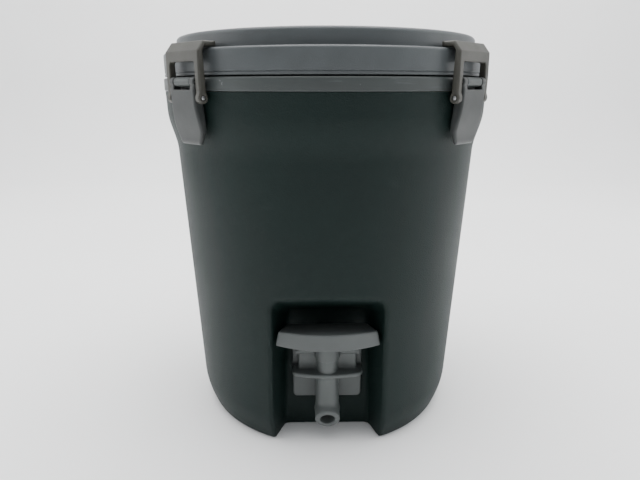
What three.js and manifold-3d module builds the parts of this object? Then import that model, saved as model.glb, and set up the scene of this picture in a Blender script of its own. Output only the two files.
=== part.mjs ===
// Insulated drinks jug with a latched lift-off lid and a push-lever spigot.
// Millimetres, +Z up. The jug stands on Z = 0 with its axis on Z, and the spigot faces -Y.
// "out" is the distance from the axis towards the front, which is -Y.
import * as THREE from "three";
import { ConvexGeometry } from "three/addons/geometries/ConvexGeometry.js";
import { mergeVertices } from "three/addons/utils/BufferGeometryUtils.js";
import Module from "manifold-3d";

const wasm = await Module();
wasm.setup();

// ---------------------------------------------------------------- driving dimensions
const JUG_SIDES = 48; // facets round the jug
const ROD_SIDES = 12; // facets round a small rod or bore
const GAP = 0.3; // left between pieces that touch
const PIN_PLAY = 0.3; // radial play of a pin in its bore

// Outer shell
const BODY_TOP = 259.3;
const BODY_TOP_RADIUS = 124.5;
const SHOULDER_TOP = 246;
const SHOULDER_TOP_RADIUS = 124;
const SHOULDER_FOOT = 215;
const SHOULDER_FOOT_RADIUS = 117.9;
const BEVEL_TOP = 28;
const BEVEL_TOP_RADIUS = 108.9;
const BASE_RADIUS = 101.6;
const BASE_EDGE = 1.6;
const SHELL_WALL = 3;

// Bay in the front of the shell, open at the base
const BAY_BACK = 74.5;
const BAY_BACK_CEILING = 101.5;
const BAY_CEILING_RISE = 0.58; // per mm outwards
const BAY_BACK_HALF_WIDTH = { floor: 33.4, ceiling: 30.5 };
const BAY_FLARE = { floor: 0.366, ceiling: 0.3 }; // per mm outwards
const BAY_REACH = 140; // out past the shell
const BAY_DROP = 10; // down past the base

// Tank and its collar
const TANK_RADIUS = 81;
const TANK_WALL = 2.7;
const TANK_FLOOR = 38;
const BAY_FOAM = 10; // foam between the bay and the tank
const COLLAR_RADIUS = 125;
const COLLAR_TOP = 268.4;
const COLLAR_SKIRT_FOOT = 245;
const COLLAR_SKIRT_WALL = 2.5;

// Lid
const LID_FOOT = 269.3;
const LID_RADIUS = 124;
const LID_SHELF = 285.6; // top of the flange outside the rim
const LID_SKIN = 3;
const RIM_RADIUS = 113.9;
const RIM_TOP = 296.8;
const RIM_WALL = 6.4;
const RECESS_FLOOR = 284;
const PAN_SKIN = 2.5;
const PLUG_RADIUS = 79.5;
const PLUG_FOOT = 254;
const SEAL_FOOT = 258;
const SEAL_TOP = 262;
const SEAL_DEPTH = 2.2; // groove into the plug

// Lid handle, folded down towards the back
const HANDLE_AXIS_Z = 289.5;
const HANDLE_THICKNESS = 8;
const HANDLE_HALF_WIDTH = 65.5;
const HANDLE_BAR = 11;
const HANDLE_REACH = 74;
const HANDLE_CORNER = 26;
const HANDLE_PIN_RADIUS = 2;
const LUG_WIDTH = 8;
const LUG_RADIUS = 5;

// Latches, four round the lid
const LATCH_ANGLES = { front_left: -45, front_right: 45, rear_right: 135, rear_left: -135 };
const LATCH_HINGE = { out: 129.3, z: 265.3 };
const LATCH_HINGE_RADIUS = 3;
const LATCH_HINGE_PIN = 1.2;
const BRACKET_HALF_WIDTH = 9;
const BRACKET_FOOT = 261.3;
const LEVER_HALF_WIDTH = 13.75;
const LEVER_FLARE_HALF_WIDTH = 14.8;
const LEVER_TIP_HALF_WIDTH = 11;
const LEVER_TIP = 226;
const LOOP_PIVOT = { out: 128.5, z: 255.5 };
const LOOP_PIN = 1.3;
const LOOP_HALF_WIDTH = 19;
const LOOP_ARM = 4.8;
const LOOP_FACE = 131; // outer face
const LOOP_TOP = 289.5;
const LOOP_BAR_FOOT = 277.4;
const HOOK_TIP = 115.5;
const HOOK_UNDERSIDE = 286.4;

// Spigot
const SPIGOT_PLATE_BACK = 76.9;
const SPIGOT_PLATE = { halfWidth: 26.4, foot: 28.7, top: 83, thickness: 2.6, corner: 3.5 };
const SHELF = { top: 57.5, thickness: 3.2, front: 97.6, side: 93 };
const BLOCK = { halfWidth: 21.9, front: 87, top: 78 };
const STEP = { halfWidth: 24.4, front: 88.5, low: 70, high: 74 };
const VALVE_OUT = 88; // axis of the barrel and of the down tube
const BARREL_RADIUS = 7.9;
const BARREL_SHOULDER = 67;
const NECK_RADIUS = 7;
const NECK_TOP = 79;
const CHAMBER_RADIUS = 5.4;
const SEAT_Z = 59;
const SEAT_RADIUS = 3.9;
const TUBE_RADIUS = 9.1;
const OUTLET_RADIUS = 9.4;
const OUTLET_BORE = 5.7;
const OUTLET_LENGTH = 11.4;
const OUTLET_DROP = 22; // degrees below level
const ELBOW_Z = 24.6;
const SHANK_Z = 63;
const SHANK_RADIUS = 8;
const SHANK_BORE = 3.6;
const SHANK_END = 46;
const GASKET_RADIUS = 12.5;
const GASKET_THICKNESS = 1.8;
const NUT_RADIUS = 12.9;
const NUT_THICKNESS = 7;
const BONNET_RADIUS = 9.1;
const BONNET_TOP = 83.5;
const STEM_RADIUS = 1.6;
const SPRING = { radius: 3.7, wire: 0.5, turns: 5, foot: 64.9, top: 79.6 };

// Spigot lever
const FULCRUM = { out: 98.5, z: 83.5 };
const FULCRUM_EYE = 2.9;
const FULCRUM_PIN = 1.4;
const EAR = { inner: 17.5, outer: 21.5, low: 72, under: FULCRUM.z - FULCRUM_EYE };
const LUG = { inner: 12.4, outer: 17.2, top: 92 };
const FORK = { back: 84.5, low: 85, high: 87.2 };
const PADDLE = { back: 82.5, backTop: 92.6, corner: 100.8, front: 111, frontTop: 96.6, foot: 84.3 };
const PADDLE_HALF_WIDTH = { back: 30, corner: 35.6, foot: 37.9 };
const PADDLE_SKIN = 2.5;

// ---------------------------------------------------------------- solids
// Shape x, y and depth turned so that an outline is read as (x, out), (out, z) or (x, z).
const PLAN = new THREE.Matrix4().makeBasis(
  new THREE.Vector3(1, 0, 0),
  new THREE.Vector3(0, -1, 0),
  new THREE.Vector3(0, 0, -1),
);
const SIDE = new THREE.Matrix4().makeBasis(
  new THREE.Vector3(0, -1, 0),
  new THREE.Vector3(0, 0, 1),
  new THREE.Vector3(-1, 0, 0),
);
const FRONT = new THREE.Matrix4().makeBasis(
  new THREE.Vector3(1, 0, 0),
  new THREE.Vector3(0, 0, 1),
  new THREE.Vector3(0, -1, 0),
);

// A closed geometry as a solid that can be joined and cut.
function solid(geometry) {
  const bare = geometry.index ? geometry.toNonIndexed() : geometry.clone();
  bare.deleteAttribute("normal");
  bare.deleteAttribute("uv");
  const merged = mergeVertices(bare, 1e-4);
  const corners = merged.index.array;
  const triangles = [];
  for (let i = 0; i < corners.length; i += 3) {
    const [a, b, c] = [corners[i], corners[i + 1], corners[i + 2]];
    if (a !== b && b !== c && c !== a) triangles.push([a, b, c]);
  }
  const build = (faces) =>
    new wasm.Manifold(
      new wasm.Mesh({
        numProp: 3,
        vertProperties: merged.attributes.position.array,
        triVerts: new Uint32Array(faces.flat()),
      }),
    );
  const made = build(triangles);
  return made.volume() < 0 ? build(triangles.map(([a, b, c]) => [a, c, b])) : made;
}

const join = (first, ...rest) => rest.reduce((sum, piece) => sum.add(piece), first);
const cut = (first, ...rest) => rest.reduce((left, piece) => left.subtract(piece), first);

// A ring or disc turned about the jug's axis from [radius, z] points.
function turned(points, sides = JUG_SIDES) {
  const profile = points.map(([radius, z]) => new THREE.Vector2(radius, z));
  return solid(new THREE.LatheGeometry(profile, sides).rotateX(Math.PI / 2));
}

const outline = (points) => new THREE.Shape(points.map(([x, y]) => new THREE.Vector2(x, y)));

function prism(shape, depth, basis, shift) {
  const geometry = new THREE.ExtrudeGeometry(shape, { depth, bevelEnabled: false, curveSegments: 6 });
  return solid(geometry.applyMatrix4(basis).translate(...shift));
}

const planPrism = (shape, low, high) => prism(shape, high - low, PLAN, [0, 0, high]);
const sidePrism = (shape, left, right) => prism(shape, right - left, SIDE, [right, 0, 0]);
const frontPrism = (shape, near, far) => prism(shape, far - near, FRONT, [0, -near, 0]);

function box([left, right], [near, far], [low, high]) {
  const geometry = new THREE.BoxGeometry(right - left, far - near, high - low);
  return solid(geometry.translate((left + right) / 2, -(near + far) / 2, (low + high) / 2));
}

function rodZ(radius, low, high, out = 0, sides = ROD_SIDES) {
  const geometry = new THREE.CylinderGeometry(radius, radius, high - low, sides);
  return solid(geometry.rotateX(Math.PI / 2).translate(0, -out, (low + high) / 2));
}

function rodX(radius, left, right, { out, z }, sides = ROD_SIDES) {
  const geometry = new THREE.CylinderGeometry(radius, radius, right - left, sides);
  return solid(geometry.rotateZ(Math.PI / 2).translate((left + right) / 2, -out, z));
}

function rodOut(radius, near, far, z, sides = ROD_SIDES) {
  const geometry = new THREE.CylinderGeometry(radius, radius, far - near, sides);
  return solid(geometry.translate(0, -(near + far) / 2, z));
}

function ball(radius, out, z) {
  return solid(new THREE.SphereGeometry(radius, ROD_SIDES, ROD_SIDES / 2).translate(0, -out, z));
}

function hull(points) {
  return solid(new ConvexGeometry(points.map(([x, out, z]) => new THREE.Vector3(x, -out, z))));
}

function roundedRectangle(halfWidth, low, high, corner) {
  const shape = new THREE.Shape();
  shape.moveTo(-halfWidth + corner, low);
  shape.lineTo(halfWidth - corner, low);
  shape.absarc(halfWidth - corner, low + corner, corner, -Math.PI / 2, 0);
  shape.lineTo(halfWidth, high - corner);
  shape.absarc(halfWidth - corner, high - corner, corner, 0, Math.PI / 2);
  shape.lineTo(-halfWidth + corner, high);
  shape.absarc(-halfWidth + corner, high - corner, corner, Math.PI / 2, Math.PI);
  shape.lineTo(-halfWidth, low + corner);
  shape.absarc(-halfWidth + corner, low + corner, corner, Math.PI, 1.5 * Math.PI);
  return shape;
}

// ---------------------------------------------------------------- materials
const plastic = (color, roughness) => new THREE.MeshStandardMaterial({ color, roughness, metalness: 0 });
const FINISH = {
  shell: () => plastic(0x33463f, 0.6),
  lid: () => plastic(0x5c6163, 0.5),
  collar: () => plastic(0x4f5757, 0.5),
  tank: () => plastic(0xb9bcbb, 0.45),
  foam: () => plastic(0xe6dfc4, 0.95),
  loop: () => plastic(0x5f5f57, 0.55),
  lever: () => plastic(0x666a67, 0.5),
  spigot: () => plastic(0x646866, 0.45),
  rubber: () => plastic(0x222222, 0.85),
  steel: () => new THREE.MeshStandardMaterial({ color: 0xb4b6b8, roughness: 0.3, metalness: 1 }),
};

const jug = new THREE.Group();

// Adds a solid to a group as its own named mesh.
function add(group, name, made, finish) {
  const { vertProperties, triVerts, numProp } = made.getMesh();
  const geometry = new THREE.BufferGeometry();
  geometry.setAttribute("position", new THREE.BufferAttribute(new Float32Array(vertProperties), numProp));
  geometry.setIndex(new THREE.BufferAttribute(new Uint32Array(triVerts), 1));
  geometry.computeVertexNormals();
  const mesh = new THREE.Mesh(geometry, FINISH[finish]());
  mesh.name = name;
  group.add(mesh);
}

// ---------------------------------------------------------------- shell, foam, tank and collar
function bodyRadius(z) {
  if (z < BEVEL_TOP) {
    const below = Math.pow(1 - z / BEVEL_TOP, 1.8);
    return THREE.MathUtils.lerp(BEVEL_TOP_RADIUS, BASE_RADIUS, below);
  }
  if (z < SHOULDER_FOOT) {
    return THREE.MathUtils.mapLinear(z, BEVEL_TOP, SHOULDER_FOOT, BEVEL_TOP_RADIUS, SHOULDER_FOOT_RADIUS);
  }
  if (z < SHOULDER_TOP) {
    const along = THREE.MathUtils.smoothstep(z, SHOULDER_FOOT, SHOULDER_TOP);
    return THREE.MathUtils.lerp(SHOULDER_FOOT_RADIUS, SHOULDER_TOP_RADIUS, along);
  }
  return THREE.MathUtils.mapLinear(z, SHOULDER_TOP, BODY_TOP, SHOULDER_TOP_RADIUS, BODY_TOP_RADIUS);
}

// The body's outline moved inwards, as a solid from a floor to a top.
function bodySolid(inset, floor, top) {
  const shoulder = [0.3, 0.6].map((part) => THREE.MathUtils.lerp(SHOULDER_FOOT, SHOULDER_TOP, part));
  const heights = [BEVEL_TOP / 2, BEVEL_TOP, SHOULDER_FOOT, ...shoulder, SHOULDER_TOP, top];
  const side = heights.map((z) => [bodyRadius(z) - inset, z]);
  const edge = [bodyRadius(floor + BASE_EDGE) - inset, floor + BASE_EDGE];
  return turned([[0, floor], [edge[0] - BASE_EDGE, floor], edge, ...side, [0, top]]);
}

// The bay as a solid, grown by an offset on its back, sides and ceiling.
function baySolid(offset) {
  const corners = [BAY_BACK - offset, BAY_REACH].flatMap((out) => {
    const depth = out - BAY_BACK;
    const floorOffset = offset * Math.hypot(1, BAY_FLARE.floor);
    const floorHalf = BAY_BACK_HALF_WIDTH.floor + BAY_FLARE.floor * depth + floorOffset;
    const topOffset = offset * Math.hypot(1, BAY_FLARE.ceiling);
    const topHalf = BAY_BACK_HALF_WIDTH.ceiling + BAY_FLARE.ceiling * depth + topOffset;
    const ceiling = BAY_BACK_CEILING + BAY_CEILING_RISE * depth + offset * Math.hypot(1, BAY_CEILING_RISE);
    return [-1, 1].flatMap((side) => [
      [side * floorHalf, out, -BAY_DROP],
      [side * topHalf, out, ceiling],
    ]);
  });
  return hull(corners);
}

const shankHole = rodOut(SHANK_RADIUS + GAP, SHANK_END - 6, BAY_BACK + 5, SHANK_Z);

function outerShell() {
  const outside = cut(bodySolid(0, 0, BODY_TOP), baySolid(0));
  const hollow = cut(bodySolid(SHELL_WALL, SHELL_WALL, BODY_TOP + 1), baySolid(SHELL_WALL));
  return cut(outside, hollow, shankHole);
}

const TANK_OUTSIDE = TANK_RADIUS + TANK_WALL;
const TANK_BAY_OFFSET = SHELL_WALL + BAY_FOAM;

// The tank's outline grown by an offset: a cylinder with the bay's notch.
function tankSolid(grow, foot, top) {
  const round = turned([[0, foot], [TANK_OUTSIDE + grow, foot], [TANK_OUTSIDE + grow, top], [0, top]]);
  return cut(round, baySolid(TANK_BAY_OFFSET - grow));
}

function innerTank() {
  const outside = tankSolid(0, TANK_FLOOR - TANK_WALL, COLLAR_TOP - GAP);
  const hollow = tankSolid(-TANK_WALL, TANK_FLOOR, COLLAR_TOP + 1);
  return cut(outside, hollow, shankHole);
}

function foamCore() {
  const foamTop = BODY_TOP - GAP;
  const fill = cut(bodySolid(SHELL_WALL + GAP, SHELL_WALL + GAP, foamTop), baySolid(SHELL_WALL + GAP));
  const tankSpace = tankSolid(GAP, TANK_FLOOR - TANK_WALL - GAP, foamTop + 1);
  const skirtRadius = TANK_OUTSIDE + GAP + COLLAR_SKIRT_WALL + GAP;
  const skirtFoot = COLLAR_SKIRT_FOOT - GAP;
  const skirtSpace = turned([
    [0, skirtFoot],
    [skirtRadius, skirtFoot],
    [skirtRadius, foamTop + 1],
    [0, foamTop + 1],
  ]);
  return cut(fill, tankSpace, skirtSpace, shankHole);
}

function collarRing() {
  const bore = TANK_OUTSIDE + GAP;
  const foot = BODY_TOP + GAP;
  return turned([
    [bore, COLLAR_TOP],
    [COLLAR_RADIUS - 1, COLLAR_TOP],
    [COLLAR_RADIUS, COLLAR_TOP - 1],
    [COLLAR_RADIUS, foot],
    [bore + COLLAR_SKIRT_WALL, foot],
    [bore + COLLAR_SKIRT_WALL, COLLAR_SKIRT_FOOT],
    [bore, COLLAR_SKIRT_FOOT],
    [bore, COLLAR_TOP],
  ]);
}

add(jug, "outer_shell", outerShell(), "shell");
add(jug, "foam_core", foamCore(), "foam");
add(jug, "inner_tank", innerTank(), "tank");
add(jug, "collar_ring", collarRing(), "collar");

// ---------------------------------------------------------------- lid and handle
function lidTop() {
  const skirt = LID_RADIUS - LID_SKIN;
  const rimInside = RIM_RADIUS - RIM_WALL;
  const shell = turned([
    [0, RECESS_FLOOR],
    [rimInside - 3, RECESS_FLOOR],
    [rimInside - 0.5, RECESS_FLOOR + 2],
    [rimInside, RIM_TOP - 2],
    [rimInside + 2, RIM_TOP],
    [RIM_RADIUS - 2.4, RIM_TOP],
    [RIM_RADIUS, RIM_TOP - 3],
    [RIM_RADIUS, LID_SHELF],
    [LID_RADIUS - 2, LID_SHELF],
    [LID_RADIUS, LID_SHELF - 2.2],
    [LID_RADIUS, LID_FOOT],
    [skirt, LID_FOOT],
    [skirt, RECESS_FLOOR - LID_SKIN],
    [0, RECESS_FLOOR - LID_SKIN],
  ]);
  const lugs = [-1, 1].map((side) => {
    const ends = [side * (HANDLE_HALF_WIDTH + GAP), side * (HANDLE_HALF_WIDTH + GAP + LUG_WIDTH)];
    const [left, right] = ends.sort((a, b) => a - b);
    const foot = box([left, right], [-LUG_RADIUS, LUG_RADIUS], [RECESS_FLOOR - 1, HANDLE_AXIS_Z]);
    return join(foot, rodX(LUG_RADIUS, left, right, { out: 0, z: HANDLE_AXIS_Z }));
  });
  const bore = rodX(HANDLE_PIN_RADIUS + PIN_PLAY, -90, 90, { out: 0, z: HANDLE_AXIS_Z });
  return cut(join(shell, ...lugs), bore);
}

function lidPan() {
  const edge = LID_RADIUS - LID_SKIN - GAP;
  const groove = PLUG_RADIUS - SEAL_DEPTH - GAP;
  const wall = groove - PAN_SKIN;
  return turned([
    [0, PLUG_FOOT],
    [PLUG_RADIUS - 1.5, PLUG_FOOT],
    [PLUG_RADIUS, PLUG_FOOT + 1.5],
    [PLUG_RADIUS, SEAL_FOOT - GAP],
    [groove, SEAL_FOOT - GAP],
    [groove, SEAL_TOP + GAP],
    [PLUG_RADIUS, SEAL_TOP + GAP],
    [PLUG_RADIUS, LID_FOOT],
    [edge, LID_FOOT],
    [edge, LID_FOOT + PAN_SKIN],
    [wall, LID_FOOT + PAN_SKIN],
    [wall, PLUG_FOOT + PAN_SKIN],
    [0, PLUG_FOOT + PAN_SKIN],
  ]);
}

function lidFoam() {
  const edge = LID_RADIUS - LID_SKIN - 2 * GAP;
  const neck = PLUG_RADIUS - SEAL_DEPTH - PAN_SKIN - 2 * GAP;
  const ledge = LID_FOOT + PAN_SKIN + GAP;
  const top = RECESS_FLOOR - LID_SKIN - GAP;
  const foot = PLUG_FOOT + PAN_SKIN + GAP;
  return turned([[0, foot], [neck, foot], [neck, ledge], [edge, ledge], [edge, top], [0, top]]);
}

function lidSeal() {
  const inside = PLUG_RADIUS - SEAL_DEPTH;
  const outside = TANK_RADIUS - GAP;
  return turned([
    [inside, SEAL_FOOT],
    [PLUG_RADIUS, SEAL_FOOT],
    [outside, (SEAL_FOOT + SEAL_TOP) / 2],
    [PLUG_RADIUS, SEAL_TOP],
    [inside, SEAL_TOP],
    [inside, SEAL_FOOT],
  ]);
}

// The handle's plan runs from the hinge towards the back, where "out" is negative.
function handlePlan(halfWidth, reach, corner) {
  const shape = new THREE.Shape();
  shape.moveTo(halfWidth, 0);
  shape.lineTo(-halfWidth, 0);
  shape.lineTo(-halfWidth, -reach + corner);
  shape.absarc(-halfWidth + corner, -reach + corner, corner, Math.PI, 1.5 * Math.PI);
  shape.lineTo(halfWidth - corner, -reach);
  shape.absarc(halfWidth - corner, -reach + corner, corner, 1.5 * Math.PI, 2 * Math.PI);
  return shape;
}

function lidHandle() {
  const low = HANDLE_AXIS_Z - HANDLE_THICKNESS / 2;
  const high = HANDLE_AXIS_Z + HANDLE_THICKNESS / 2;
  const hinge = { out: 0, z: HANDLE_AXIS_Z };
  const whole = planPrism(handlePlan(HANDLE_HALF_WIDTH, HANDLE_REACH, HANDLE_CORNER), low, high);
  const inside = [HANDLE_HALF_WIDTH - HANDLE_BAR, HANDLE_REACH - HANDLE_BAR - 3, HANDLE_CORNER - HANDLE_BAR];
  const hand = planPrism(handlePlan(...inside), low - 1, high + 1);
  const eyes = rodX(HANDLE_THICKNESS / 2, -HANDLE_HALF_WIDTH, HANDLE_HALF_WIDTH, hinge);
  const between = [-inside[0], inside[0]];
  const clear = box(between, [-HANDLE_THICKNESS, HANDLE_THICKNESS], [low - 1, high + 1]);
  const bore = rodX(HANDLE_PIN_RADIUS + PIN_PLAY, -90, 90, hinge);
  return cut(join(whole, eyes), hand, clear, bore);
}

function handlePin(side) {
  const inner = HANDLE_HALF_WIDTH - HANDLE_BAR + GAP;
  const outer = HANDLE_HALF_WIDTH + LUG_WIDTH;
  const [left, right] = [side * inner, side * outer].sort((a, b) => a - b);
  return rodX(HANDLE_PIN_RADIUS, left, right, { out: 0, z: HANDLE_AXIS_Z });
}

add(jug, "lid_top", lidTop(), "lid");
add(jug, "lid_pan", lidPan(), "tank");
add(jug, "lid_foam", lidFoam(), "foam");
add(jug, "lid_seal", lidSeal(), "rubber");
add(jug, "lid_handle", lidHandle(), "lid");
add(jug, "handle_pin_left", handlePin(-1), "steel");
add(jug, "handle_pin_right", handlePin(1), "steel");

// ---------------------------------------------------------------- latches
function latchBracket() {
  const across = [-BRACKET_HALF_WIDTH, BRACKET_HALF_WIDTH];
  const plate = box(across, [COLLAR_RADIUS + GAP, 127], [BRACKET_FOOT, COLLAR_TOP - GAP]);
  const web = box(across, [126, LATCH_HINGE.out], [LATCH_HINGE.z - 2.1, LATCH_HINGE.z + 2.1]);
  const barrel = rodX(LATCH_HINGE_RADIUS, ...across, LATCH_HINGE);
  return cut(join(plate, web, barrel), rodX(LATCH_HINGE_PIN + PIN_PLAY, -20, 20, LATCH_HINGE));
}

function latchLever() {
  const side = outline([
    [132.4, 264],
    [132.3, 256],
    [131.8, 248],
    [130.6, 241],
    [129.2, 235.5],
    [128.4, 231],
    [128.3, LEVER_TIP + 2],
    [127.5, LEVER_TIP],
    [126, LEVER_TIP],
    [125.2, LEVER_TIP + 2],
    [124.6, 233],
    [124.6, 240],
    [125, 245],
    [125.2, 252],
    [126.4, 257],
    [126.4, 264],
  ]);
  const front = outline([
    [LEVER_HALF_WIDTH, 270],
    [-LEVER_HALF_WIDTH, 270],
    [-LEVER_HALF_WIDTH, 251],
    [-LEVER_FLARE_HALF_WIDTH, 241],
    [-LEVER_FLARE_HALF_WIDTH, 235.5],
    [-LEVER_TIP_HALF_WIDTH, LEVER_TIP - 1],
    [LEVER_TIP_HALF_WIDTH, LEVER_TIP - 1],
    [LEVER_FLARE_HALF_WIDTH, 235.5],
    [LEVER_FLARE_HALF_WIDTH, 241],
    [LEVER_HALF_WIDTH, 251],
  ]);
  const slab = sidePrism(side, -LEVER_FLARE_HALF_WIDTH, LEVER_FLARE_HALF_WIDTH);
  const ears = rodX(LATCH_HINGE_RADIUS + 0.2, -LEVER_HALF_WIDTH, LEVER_HALF_WIDTH, LATCH_HINGE);
  const body = join(slab, ears).intersect(frontPrism(front, 110, 140));
  const notchHalf = BRACKET_HALF_WIDTH + GAP + 0.1;
  const notch = box([-notchHalf, notchHalf], [110, 140], [LATCH_HINGE.z - 4.6, 280]);
  const hingeBore = rodX(LATCH_HINGE_PIN + PIN_PLAY, -20, 20, LATCH_HINGE);
  const loopBores = [-1, 1].map((end) => loopPinRod(end, LOOP_PIN + PIN_PLAY, 9.7, 20));
  return cut(body, notch, hingeBore, ...loopBores);
}

function loopPinRod(end, radius, inner, outer) {
  const [left, right] = [end * inner, end * outer].sort((a, b) => a - b);
  return rodX(radius, left, right, LOOP_PIVOT);
}

function latchLoop() {
  const side = outline([
    [LOOP_FACE, 254],
    [LOOP_FACE + 0.3, 268],
    [LOOP_FACE, 283.6],
    [126.2, LOOP_TOP],
    [HOOK_TIP + 1.2, LOOP_TOP],
    [HOOK_TIP, LOOP_TOP - 1],
    [HOOK_TIP, HOOK_UNDERSIDE],
    [125.2, HOOK_UNDERSIDE],
    [127, 283.6],
    [126.4, 268],
    [126, 254],
  ]);
  const plan = new THREE.Shape();
  const corner = 5;
  plan.moveTo(LOOP_HALF_WIDTH, 140);
  plan.lineTo(-LOOP_HALF_WIDTH, 140);
  plan.lineTo(-LOOP_HALF_WIDTH, HOOK_TIP + corner);
  plan.absarc(-LOOP_HALF_WIDTH + corner, HOOK_TIP + corner, corner, Math.PI, 1.5 * Math.PI);
  plan.lineTo(LOOP_HALF_WIDTH - corner, HOOK_TIP);
  plan.absarc(LOOP_HALF_WIDTH - corner, HOOK_TIP + corner, corner, 1.5 * Math.PI, 2 * Math.PI);
  const eyes = rodX(3.5, -LOOP_HALF_WIDTH, LOOP_HALF_WIDTH, LOOP_PIVOT);
  const slab = join(sidePrism(side, -LOOP_HALF_WIDTH, LOOP_HALF_WIDTH), eyes);
  const rounded = slab.intersect(planPrism(plan, 240, 300));
  const windowHalf = LOOP_HALF_WIDTH - LOOP_ARM;
  const window = box([-windowHalf, windowHalf], [100, 140], [240, LOOP_BAR_FOOT]);
  return cut(rounded, window, rodX(LOOP_PIN + PIN_PLAY, -20, 20, LOOP_PIVOT));
}

for (const [place, degrees] of Object.entries(LATCH_ANGLES)) {
  const latch = new THREE.Group();
  latch.rotation.z = THREE.MathUtils.degToRad(degrees);
  add(latch, `latch_bracket_${place}`, latchBracket(), "collar");
  add(latch, `latch_lever_${place}`, latchLever(), "lever");
  add(latch, `latch_loop_${place}`, latchLoop(), "loop");
  const hingePin = rodX(LATCH_HINGE_PIN, -LEVER_HALF_WIDTH + GAP, LEVER_HALF_WIDTH - GAP, LATCH_HINGE);
  add(latch, `latch_hinge_pin_${place}`, hingePin, "steel");
  add(latch, `loop_pin_left_${place}`, loopPinRod(-1, LOOP_PIN, 10, LOOP_HALF_WIDTH - GAP), "steel");
  add(latch, `loop_pin_right_${place}`, loopPinRod(1, LOOP_PIN, 10, LOOP_HALF_WIDTH - GAP), "steel");
  jug.add(latch);
}

// ---------------------------------------------------------------- spigot
function shelfPlan() {
  const { halfWidth, corner } = SPIGOT_PLATE;
  const shape = new THREE.Shape();
  shape.moveTo(halfWidth, SPIGOT_PLATE_BACK + 1);
  shape.lineTo(-halfWidth, SPIGOT_PLATE_BACK + 1);
  shape.lineTo(-halfWidth, SHELF.side - corner / 2);
  shape.quadraticCurveTo(-halfWidth, SHELF.side, -halfWidth + corner, SHELF.side + 1);
  shape.quadraticCurveTo(0, 2 * SHELF.front - SHELF.side - 1, halfWidth - corner, SHELF.side + 1);
  shape.quadraticCurveTo(halfWidth, SHELF.side, halfWidth, SHELF.side - corner / 2);
  return shape;
}

// A rod in the plane of the jug's axis and the front, from a point, sloping down outwards.
function slopingRod(radius, { out, z }, start, end, degrees) {
  const geometry = new THREE.CylinderGeometry(radius, radius, end - start, ROD_SIDES);
  geometry.translate(0, -(start + end) / 2, 0).rotateX(THREE.MathUtils.degToRad(degrees));
  return solid(geometry.translate(0, -out, z));
}

function spigotBody() {
  const { halfWidth, foot, top, thickness, corner } = SPIGOT_PLATE;
  const plateFront = SPIGOT_PLATE_BACK + thickness;
  const shelfFoot = SHELF.top - SHELF.thickness;
  const plate = frontPrism(roundedRectangle(halfWidth, foot, top, corner), SPIGOT_PLATE_BACK, plateFront);
  const shelf = planPrism(shelfPlan(), shelfFoot, SHELF.top);
  const across = ({ halfWidth: half }) => [-half, half];
  const block = box(across(BLOCK), [plateFront - 1, BLOCK.front], [SHELF.top - 1, BLOCK.top]);
  const step = box(across(STEP), [plateFront - 1, STEP.front], [STEP.low, STEP.high]);
  const ears = [-1, 1].map((side) => {
    const [left, right] = [side * EAR.inner, side * EAR.outer].sort((a, b) => a - b);
    const high = FULCRUM.z + FULCRUM_EYE;
    const post = box([left, right], [plateFront, STEP.front], [EAR.low, high]);
    const bar = box([left, right], [plateFront, FULCRUM.out], [EAR.under, high]);
    return join(post, bar, rodX(FULCRUM_EYE, left, right, FULCRUM));
  });
  const elbowAt = { out: VALVE_OUT, z: ELBOW_Z };
  const barrel = rodZ(BARREL_RADIUS, shelfFoot, BARREL_SHOULDER, VALVE_OUT);
  const neck = rodZ(NECK_RADIUS, BARREL_SHOULDER - 1, NECK_TOP, VALVE_OUT);
  const tube = rodZ(TUBE_RADIUS, ELBOW_Z, SHELF.top - 1, VALVE_OUT);
  const elbow = ball(OUTLET_RADIUS, VALVE_OUT, ELBOW_Z);
  const outlet = slopingRod(OUTLET_RADIUS, elbowAt, 0, OUTLET_LENGTH, OUTLET_DROP);
  const shank = rodOut(SHANK_RADIUS, SHANK_END, plateFront, SHANK_Z);
  const bonnetSpace = cut(
    rodZ(BONNET_RADIUS + GAP, BARREL_SHOULDER, BONNET_TOP + GAP, VALVE_OUT),
    rodZ(NECK_RADIUS, BARREL_SHOULDER - 1, NECK_TOP, VALVE_OUT),
  );
  const frame = cut(join(plate, shelf, block, step, shank), bonnetSpace);
  const outside = join(frame, ...ears, barrel, neck, tube, elbow, outlet);
  return cut(
    outside,
    rodZ(CHAMBER_RADIUS, SEAT_Z, NECK_TOP + 1, VALVE_OUT),
    rodZ(SEAT_RADIUS, SHELF.top - 5, SEAT_Z + 1, VALVE_OUT),
    rodZ(OUTLET_BORE, ELBOW_Z, shelfFoot, VALVE_OUT),
    ball(OUTLET_BORE, VALVE_OUT, ELBOW_Z),
    slopingRod(OUTLET_BORE, elbowAt, 0, OUTLET_LENGTH + 1, OUTLET_DROP),
    rodOut(SHANK_BORE, SHANK_END - 1, VALVE_OUT, SHANK_Z),
    rodX(FULCRUM_PIN + PIN_PLAY, -30, 30, FULCRUM),
  );
}

function washer(radius, near, far, sides = ROD_SIDES * 1.5) {
  return cut(
    rodOut(radius, near, far, SHANK_Z, sides),
    rodOut(SHANK_RADIUS + GAP, near - 1, far + 1, SHANK_Z),
  );
}

function valveBonnet() {
  return cut(
    rodZ(BONNET_RADIUS, BARREL_SHOULDER + GAP, BONNET_TOP, VALVE_OUT),
    rodZ(NECK_RADIUS + GAP, BARREL_SHOULDER, NECK_TOP + GAP, VALVE_OUT),
    rodZ(CHAMBER_RADIUS, NECK_TOP, BONNET_TOP - 3, VALVE_OUT),
    rodZ(STEM_RADIUS + PIN_PLAY, BONNET_TOP - 5, BONNET_TOP + 1, VALVE_OUT),
  );
}

const SEAL_DISC_TOP = SEAT_Z + GAP + 3;
const STEM_HEAD = { low: FORK.high + 0.5, high: FORK.high + 1.4, radius: 3 };

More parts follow.
